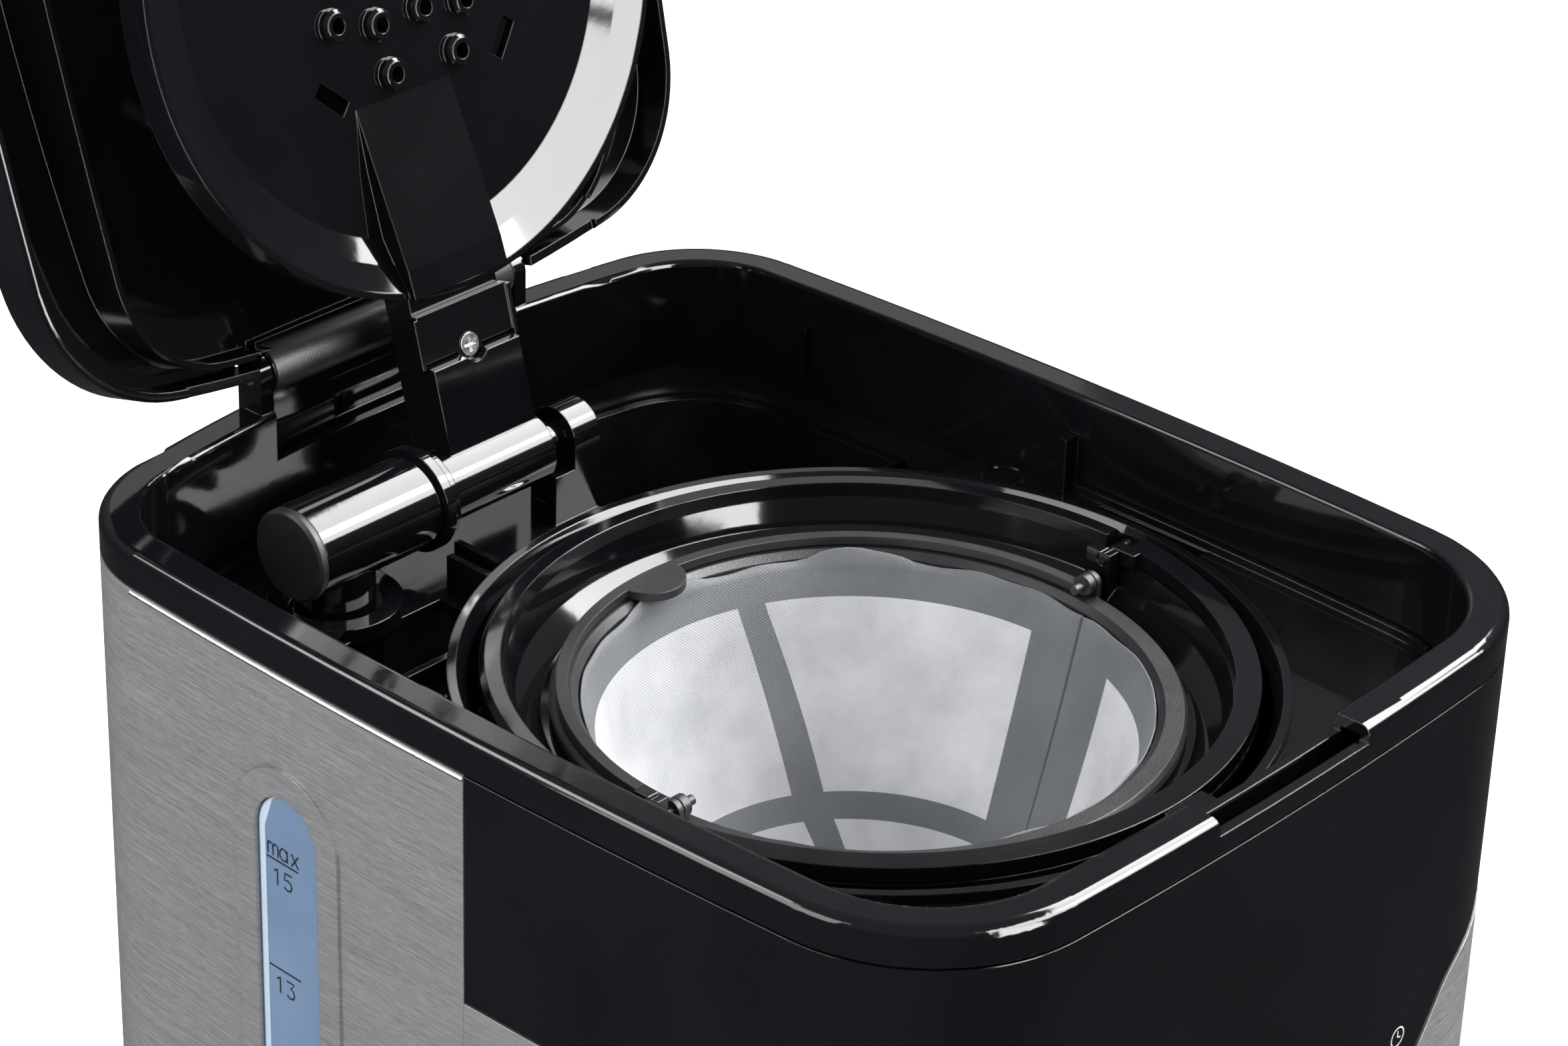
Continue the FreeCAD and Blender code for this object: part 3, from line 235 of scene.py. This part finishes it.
def weave(name, low, high):
    """Fine woven nylon: threads round the cone and up its slope."""
    m = Nodes(name)
    parts = m.add("ShaderNodeSeparateXYZ", {"Vector": m.place}).outputs
    centred = m.add("ShaderNodeMath", {0: parts[1], 1: 0.0178}, operation="ADD").outputs[0]
    angle = m.add("ShaderNodeMath", {0: centred, 1: parts[0]}, operation="ARCTAN2").outputs[0]
    warp = m.add("ShaderNodeMath", {0: angle, 1: 420.0}, operation="MULTIPLY").outputs[0]
    weft = m.add("ShaderNodeMath", {0: parts[2], 1: 8400.0}, operation="MULTIPLY").outputs[0]
    waves = [m.add("ShaderNodeMath", {0: side}, operation="SINE").outputs[0] for side in (warp,
                                                                                          weft)]
    cross = m.add("ShaderNodeMath", {0: waves[0], 1: waves[1]}, operation="MULTIPLY").outputs[0]
    cloudy = m.noise(38, 4, rough=0.6)
    shade = m.add("ShaderNodeMath", {0: m.spread(cross, 0.0, 0.45, -1, 1),
                                     1: m.spread(cloudy, 0.0, 0.55)},
                  operation="ADD").outputs[0]
    m.link(m.ramp(shade, low, high, 0.0, 1.0), "Base Color")
    m.link(m.spread(cross, 0.55, 0.75, -1, 1), "Roughness")
    m.bump(cross, 0.4, 0.00008)
    m.set(Sheen_Weight=0.1)
    return m.material


def make_materials():
    made = {
        "gloss_black": plastic("gloss_black", (0.0034, 0.0036, 0.0046), (0.0052, 0.0054, 0.0068),
                               (0.05, 0.10),
                               (420, 0.05, 0.0001)),
        "black_plastic": plastic("black_plastic", (0.006, 0.006, 0.007), (0.010, 0.010, 0.011),
                                 (0.22, 0.32),
                                 (700, 0.1, 0.0001)),
        "satin_black": plastic("satin_black", (0.010, 0.010, 0.011), (0.022, 0.022, 0.024),
                               (0.34, 0.48),
                               (2400, 0.5, 0.00012)),
        "dark_plastic": plastic("dark_plastic", (0.008, 0.008, 0.009), (0.015, 0.015, 0.017),
                                (0.35, 0.5),
                                (1500, 0.25, 0.0001)),
        "rubber": plastic("rubber", (0.010, 0.010, 0.010), (0.020, 0.020, 0.020), (0.55, 0.7),
                          (900, 0.3, 0.0001)),
        "silicone": plastic("silicone", (0.62, 0.61, 0.58), (0.75, 0.74, 0.71), (0.35, 0.5),
                            (300, 0.1, 0.0001)),
        "tank_plastic": plastic("tank_plastic", (0.003, 0.003, 0.004), (0.006, 0.006, 0.007),
                                (0.25, 0.4),
                                (500, 0.1, 0.0001)),
        "circuit_green": plastic("circuit_green", (0.01, 0.10, 0.04), (0.02, 0.17, 0.07),
                                 (0.3, 0.4),
                                 (800, 0.1, 0.0001)),
        "plate_coating": plastic("plate_coating", (0.010, 0.010, 0.010), (0.030, 0.030, 0.030),
                                 (0.35, 0.5),
                                 (3500, 0.5, 0.0001)),
        "print_dark": plastic("print_dark", (0.012, 0.014, 0.02), (0.02, 0.022, 0.03), (0.5, 0.6),
                              (900, 0.1, 0.00005)),
        "print_pale": plastic("print_pale", (0.55, 0.56, 0.57), (0.66, 0.67, 0.68), (0.5, 0.6),
                              (900, 0.1, 0.00005)),
        # The next pale blue is a painted highlight: a lighter copy of the lens colour for the lit
        # edge of the level lens.
        "window_painted_highlight": plastic("window_painted_highlight", (0.36, 0.45, 0.55), (0.42, 0.51, 0.61), (0.15, 0.25),
                               (500, 0.05, 0.0001)),
        "screw_steel": metal("screw_steel", (0.50, 0.50, 0.50), (0.75, 0.75, 0.75), (0.18, 0.32)),
        # A far paler steel than the sheet's, used on the sheet's bevelled top edge: a painted
        # highlight.
        "steel_painted_highlight": metal("steel_painted_highlight", (0.80, 0.80, 0.81), (0.92, 0.92, 0.93), (0.25, 0.38)),
        "aluminium": metal("aluminium", (0.62, 0.62, 0.63), (0.78, 0.78, 0.79), (0.28, 0.42)),
        "brushed_steel": brushed_steel(),
        "filter_mesh": weave("filter_mesh", (0.36, 0.37, 0.39), (0.80, 0.80, 0.82)),
        "mesh_ribs": weave("mesh_ribs", (0.085, 0.092, 0.102), (0.17, 0.18, 0.195)),
        "seam_thread": weave("seam_thread", (0.03, 0.032, 0.036), (0.06, 0.063, 0.068)),
    }
    lens = Nodes("window_blue")
    lens.link(lens.ramp(lens.noise(30, 3), (0.115, 0.175, 0.27), (0.15, 0.215, 0.32)), "Base Color")
    lens.link(lens.spread(lens.noise(80, 3), 0.12, 0.2), "Roughness")
    lens.bump(lens.noise(500, 2), 0.05, 0.0001, 0.0004)
    made["window_blue"] = lens.material
    screen = Nodes("screen")
    screen.link(screen.ramp(screen.noise(60, 2), (0.05, 0.07, 0.075), (0.07, 0.09, 0.095)),
                "Base Color")
    screen.link(screen.spread(screen.noise(90, 2), 0.1, 0.2), "Roughness")
    made["screen"] = screen.material
    glass = Nodes("clear_glass")
    glass.link(glass.spread(glass.noise(25, 3), 0.0, 0.03), "Roughness")
    glass.set(Base_Color=(0.95, 0.97, 0.97, 1), Transmission_Weight=1.0, IOR=1.45)
    glass.bump(glass.noise(14, 2), 0.03, 0.0004)
    made["clear_glass"] = glass.material
    return made


def paint(materials):
    record = frame["record"]
    for part in record["subparts"]:
        thing = nodes[part["node"]]
        if not thing.data.materials:
            thing.data.materials.append(None)
        for n in range(len(thing.material_slots)):
            thing.material_slots[n].material = materials[part["material_slot"]]


# ---------------------------------------------------------------- pieces

AXIS_Y = -17.8


def piece(name, points, faces, materials, indices=None, smooth=True):
    """A mesh in millimetres; indices gives each face's material."""
    mesh = bpy.data.meshes.new(name)
    mesh.from_pydata([tuple(c * MM for c in point) for point in points], [], faces)
    for material in materials:
        mesh.materials.append(material)
    for n, polygon in enumerate(mesh.polygons):
        polygon.use_smooth = smooth
        if indices:
            polygon.material_index = indices[n]
    mesh.validate()
    thing = bpy.data.objects.new(name, mesh)
    scene.collection.objects.link(thing)
    return thing


def between(z, table):
    """Straight-line reading of a short table of (height, value)."""
    for (z0, a), (z1, b) in zip(table, table[1:]):
        if z <= z1:
            break
    return a + (b - a) * (z - z0) / (z1 - z0)


def make_filter_cloth():
    """The woven cone: clear windows, backed ribs and rings, a seam and a loose, uneven top edge."""
    foot_z, top_z, band_z, foot_r, top_r = 238.0, 301.4, 293.5, 38.0, 60.4
    lines = [
        [(237, -154), (302, -154)], [(237, -146), (302, -146)],
        [(237, -86), (302, -86)], [(237, -78), (302, -78)],
        [(237, -35), (259, -31.2), (296, -22.5), (302, -21)],
        [(237, -18.3), (252, -16.3), (305, -9.6)], [(237, -17.3), (252, -15.3), (305, -8.6)],
        [(237, 0.0), (253.7, 0.5), (293.8, 2.3), (302, 2.6)],
        [(237, 44.2), (251, 52), (292, 64.2), (302, 66)], [(237, 53.8), (251, 62), (292, 70.9),
                                                           (302, 72.5)],
        [(237, 135), (302, 142)], [(237, 144), (302, 149)]]
    backed = {0, 2, 4, 5, 6, 8, 10}
    seam, shares = 5, [3, 24, 3, 20, 5, 2, 5, 22, 5, 26, 4, 16]
    rows = [238, 240, 243, 246, 248, 250, 252] + [252 + 41.5 * n / 16 for n in range(1, 17)]
    rows += [295.5, 297.5, 299.5, top_z]
    columns = []
    for k, share in enumerate(shares):
        columns += [(k, n / share) for n in range(share)]

    def edge_rise(angle):
        ragged = (0.35 * math.sin(math.radians(angle * 9))
                  + 0.3 * math.sin(math.radians(angle * 23 + 40)))
        flaps = sum(height * max(0.0, 1 - abs(angle - middle) / 11) ** 0.6
                    for middle, height in ((90, 2.4), (43.5, 2.9), (-40, 1.6)))
        return ragged + flaps

    points = []
    for thick in (0.0, 0.35):
        for z in rows:
            slope_r = foot_r - 0.5 + (top_r - foot_r) * (z - foot_z) / (top_z - foot_z)
            for k, part in columns:
                start, end = between(z, lines[k]), between(z, lines[(k + 1) % len(lines)])
                if k == len(lines) - 1:
                    end += 360
                angle = start + (end - start) * part
                window = k not in backed and 252 < z < band_z
                belly = (0.55 * math.sin(math.pi * part)
                         * math.sin(math.pi * (z - 252) / (band_z - 252)) if window else 0)
                ridge = 0.3 if k == seam and z > 252 else 0.0
                turned = angle if angle < 180 else angle - 360
                rise = edge_rise(turned) if z == top_z else 0.0
                r = slope_r + belly - ridge + thick - 0.1 * max(rise, 0)
                a = math.radians(angle)
                points.append((r * math.cos(a), AXIS_Y + r * math.sin(a), z + rise))
    width, height = len(columns), len(rows)
    faces, marks = [], []

    def spot(sheet, row, column):
        return sheet * width * height + row * width + column % width

    for row in range(height - 1):
        middle = (rows[row] + rows[row + 1]) / 2
        for column in range(width):
            dark = columns[column][0] in backed or 246 < middle < 252 or middle > band_z
            inner = [spot(0, row, column), spot(0, row + 1, column), spot(0, row + 1, column + 1),
                     spot(0, row, column + 1)]
            outer = [spot(1, row, column), spot(1, row, column + 1), spot(1, row + 1, column + 1),
                     spot(1, row + 1, column)]
            faces += [inner, outer]
            marks += [2 if columns[column][0] == seam else int(dark)] * 2
    for column in range(width):
        faces.append([spot(0, height - 1, column), spot(1, height - 1, column),
                      spot(1, height - 1, column + 1), spot(0, height - 1, column + 1)])
        marks.append(1)
    for sheet, z in ((0, foot_z + 0.35), (1, foot_z)):
        centre = len(points)
        points.append((0, AXIS_Y, z))
        for column in range(width):
            pair = [spot(sheet, 0, column), spot(sheet, 0, column + 1)]
            faces.append([centre] + (pair if sheet == 0 else pair[::-1]))
            marks.append(0)
    for column in range(width):
        x, y, z = points[spot(0, 0, column)]
        points[spot(0, 0, column)] = (x, y, foot_z + 0.35)
    cloth = piece("filter_cloth", points, faces,
                  [MATERIALS["filter_mesh"], MATERIALS["mesh_ribs"], MATERIALS["seam_thread"]],
                  marks)
    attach(cloth, "basket")
    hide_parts("filter_mesh")


GLYPHS = {
    "1": [[(0.1, 0.8), (0.35, 1), (0.35, 0)]],
    "3": [[(0, 1), (0.6, 1), (0.3, 0.62), (0.5, 0.55), (0.6, 0.3), (0.5, 0.06), (0.25, 0),
           (0, 0.12)]],
    "5": [[(0.6, 1), (0.08, 1), (0.04, 0.56), (0.3, 0.62), (0.52, 0.54), (0.6, 0.3), (0.5, 0.06),
           (0.25, 0),
           (0, 0.12)]],
    "7": [[(0, 1), (0.6, 1), (0.22, 0)]],
    "9": [[(0.58, 0.7), (0.5, 0.94), (0.3, 1), (0.08, 0.92), (0, 0.7), (0.08, 0.5), (0.3, 0.42),
           (0.5, 0.5),
           (0.58, 0.7), (0.52, 0.3), (0.28, 0)]],
    "m": [[(0, 0), (0, 0.7)], [(0, 0.5), (0.16, 0.7), (0.34, 0.62), (0.38, 0.45), (0.38, 0)],
          [(0.38, 0.5), (0.54, 0.7), (0.72, 0.62), (0.76, 0.45), (0.76, 0)]],
    "a": [[(0.56, 0.7), (0.56, 0)], [(0.56, 0.5), (0.4, 0.68), (0.18, 0.68), (0.02, 0.48),
                                     (0.02, 0.22),
                                     (0.18, 0.02), (0.4, 0.02), (0.56, 0.2)]],
    "x": [[(0, 0.7), (0.5, 0)], [(0.5, 0.7), (0, 0)]],
}


def strokes(name, paths, surface, width, lift, material):
    """Flat printed strokes: each path of (u, v) points becomes a band just proud of a surface."""
    points, faces = [], []
    for path in paths:
        first = len(points)
        for n, (u, v) in enumerate(path):
            before, after = path[max(n - 1, 0)], path[min(n + 1, len(path) - 1)]
            du, dv = after[0] - before[0], after[1] - before[1]
            size = math.hypot(du, dv) or 1.0
            nu, nv = -dv / size * width / 2, du / size * width / 2
            for side, depth in ((1, lift), (-1, lift), (-1, 0.0), (1, 0.0)):
                points.append(surface(u + side * nu, v + side * nv, depth))
        for n in range(len(path) - 1):
            a, b = first + 4 * n, first + 4 * n + 4
            faces += [(a + k, a + (k + 1) % 4, b + (k + 1) % 4, b + k) for k in range(4)]
        last = first + 4 * (len(path) - 1)
        faces += [(first + 3, first + 2, first + 1, first), (last, last + 1, last + 2, last + 3)]
    thing = piece(name, points, faces, [MATERIALS[material]], smooth=False)
    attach(thing, "housing")


def side_x(y, inset):
    """Where the left side's shallow arc lies at y."""
    return 1555.6 - math.sqrt((1660.0 - inset) ** 2 - y * y)


def on_window(u, v, depth):
    return side_x(u, 0.29) - depth, u, v


def make_level_print():
    """Gauge marks every second cup, read from the left side, and the word at the top mark."""
    pitch, top_mark, left, right = 26.8, 276.2, 55.4, 45.6
    paths = []

    def write(text, start, base, height, gap):
        for letter in text:
            for path in GLYPHS[letter]:
                paths.append([(start - u * height, base + v * height) for u, v in path])
            start -= gap

    write("max", 55.0, 277.0, 4.2, 3.7)
    for step, cups in enumerate((15, 13, 11, 9, 7, 5, 3)):
        z = top_mark - step * pitch
        paths.append([(left, z), (right, z)])
        digits = str(cups)
        write(digits, 53.6 if len(digits) == 2 else 52.0, z - 6.0, 4.0, 3.5)
    strokes("level_print", paths, on_window, 0.42, 0.05, "print_dark")


def make_window_edge():
    """A pale band painted along the rear side of the level lens: a painted highlight where its
    thick edge catches the light.
    """
    points, faces = [], []
    low, high, middle_y, radius = 87.2, 283.4, 48.4, 9.1
    rows = [low - radius * math.cos(math.radians(a)) * 0.96 for a in (20, 40, 60, 80)]
    rows += [low + (high - low) * n / 12 for n in range(13)]
    rows += [high + radius * math.sin(math.radians(a)) * 0.96 for a in (10, 25, 40, 55, 70)]
    for z in rows:
        beyond = max(low - z, z - high, 0.0)
        outer = middle_y + math.sqrt(max(radius ** 2 - beyond ** 2, 0.0))
        inner = min(outer - 0.2, 55.7 - 0.35 * beyond)
        for y, depth in ((outer, 0.04), (inner, 0.04), (inner, 0.0), (outer, 0.0)):
            points.append(on_window(y, z, depth))
    for n in range(len(rows) - 1):
        a, b = 4 * n, 4 * n + 4
        faces += [(a + k, b + k, b + (k + 1) % 4, a + (k + 1) % 4) for k in range(4)]
    last = 4 * (len(rows) - 1)
    faces += [(0, 1, 2, 3), (last + 3, last + 2, last + 1, last)]
    edge = piece("lens_edge_highlight", points, faces, [MATERIALS["window_painted_highlight"]], smooth=False)
    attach(edge, "housing")


def make_steel_edge():
    """The bevelled upper edge of the left steel sheet, a bright line under the rim; its steel is
    much paler than the sheet's, a painted highlight added to the light that the bevel catches.
    """
    top, points, faces = 321.42, [], []
    stations = [-3.6 + (98 - -3.6) * n / 40 for n in range(41)]
    for y in stations:
        x = side_x(y, 0.0)
        for out, z in ((-0.05, top - 1.25), (0.30, top - 1.15), (0.32, top - 0.75), (-0.35, top),
                       (-0.6, top - 0.6)):
            points.append((x - out, y, z))
    for n in range(len(stations) - 1):
        a, b = 5 * n, 5 * n + 5
        faces += [(a + k, a + (k + 1) % 5, b + (k + 1) % 5, b + k) for k in range(5)]
    last = 5 * (len(stations) - 1)
    faces += [(4, 3, 2, 1, 0), tuple(last + k for k in range(5))]
    edge = piece("steel_edge", points, faces, [MATERIALS["steel_painted_highlight"]], smooth=False)
    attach(edge, "housing")


def opened(x, y, z):
    """A closed-lid point carried to the open lid, which is the rest pose."""
    turn, hinge_y, hinge_z = math.radians(-105), 129.0, 338.0
    y, z = y - hinge_y, z - hinge_z
    return (x, hinge_y + y * math.cos(turn) - z * math.sin(turn),
            hinge_z + y * math.sin(turn) + z * math.cos(turn))


def make_crown_skin():
    """A skin that covers an uneven patch of the CAD mesh at the crown of the lid."""
    steps, crown, top, middle_y, rise = 64, 900.0, 352.0, 4.0, 0.05
    rings = [0.6, 3, 6, 9, 12, 15, 16.5]
    points, faces = [], []
    for lift in (rise, -0.2):
        for r in rings:
            for n in range(steps):
                a = math.tau * n / steps
                z = top - crown + math.sqrt(crown ** 2 - r * r) + lift
                points.append(opened(r * math.cos(a), middle_y + r * math.sin(a), z))
    under = len(rings) * steps
    for k in range(len(rings) - 1):
        for n in range(steps):
            a, b, c, d = (k * steps + n, k * steps + (n + 1) % steps,
                          (k + 1) * steps + (n + 1) % steps,
                          (k + 1) * steps + n)
            faces += [(a, d, c, b), (under + a, under + b, under + c, under + d)]
    rim = (len(rings) - 1) * steps
    for n in range(steps):
        a, b = rim + n, rim + (n + 1) % steps
        faces.append((a, under + a, under + b, b))
    faces += [tuple(range(steps)), tuple(under + n for n in reversed(range(steps)))]
    skin = piece("crown_skin", points, faces, [MATERIALS["gloss_black"]])
    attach(skin, "lid")


def make_hinge_skin():
    """A satin sleeve that dulls the gloss of the lid's knuckle; it turns with the lid."""
    axis_y, axis_z, inner, outer, half = 129.0, 338.0, 5.03, 5.3, 36.3
    steps, points, faces = 26, [], []
    for x in (-half, -half + 0.4, half - 0.4, half):
        share = 0.5 if abs(x) == half else 1.0
        for n in range(steps + 1):
            a = math.radians(-40 + 250 * n / steps)
            for r in (inner, inner + (outer - inner) * share):
                points.append((x, axis_y - r * math.sin(a), axis_z - r * math.cos(a)))
    row = 2 * (steps + 1)
    for k in range(3):
        for n in range(steps):
            a, b = k * row + 2 * n, (k + 1) * row + 2 * n
            faces += [(a, a + 2, b + 2, b), (a + 1, b + 1, b + 3, a + 3)]
        a, b = k * row, (k + 1) * row
        faces += [(a, b, b + 1, a + 1), (a + row - 2, a + row - 1, b + row - 1, b + row - 2)]
    for k, flip in ((0, False), (3, True)):
        for n in range(steps):
            a = k * row + 2 * n
            face = (a, a + 1, a + 3, a + 2)
            faces.append(face[::-1] if flip else face)
    skin = piece("hinge_skin", points, faces, [MATERIALS["satin_black"]])
    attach(skin, "lid")


def make_mode_symbol():
    """A small clock face stands for the function beside the buttons."""
    centre_x, centre_z, radius = 47.5, 244.6, 2.3

    def on_front(u, v, depth):
        return u, -126.6 + 1200 - math.sqrt(1200.0 ** 2 - u * u) - depth - 0.005, v

    turn = [math.radians(15 * n) for n in range(25)]
    ring = [(centre_x + radius * math.cos(a), centre_z + radius * math.sin(a)) for a in turn]
    hands = [[(centre_x, centre_z + 1.5), (centre_x, centre_z), (centre_x + 1.1, centre_z - 0.4)]]
    strokes("mode_symbol", [ring] + hands, on_front, 0.4, 0.05, "print_pale")


scene.view_settings.view_transform = "Standard"
make_camera()
make_floor()
make_light()
MATERIALS = make_materials()
paint(MATERIALS)
make_filter_cloth()
make_level_print()
make_window_edge()
make_steel_edge()
make_mode_symbol()
make_hinge_skin()
make_crown_skin()
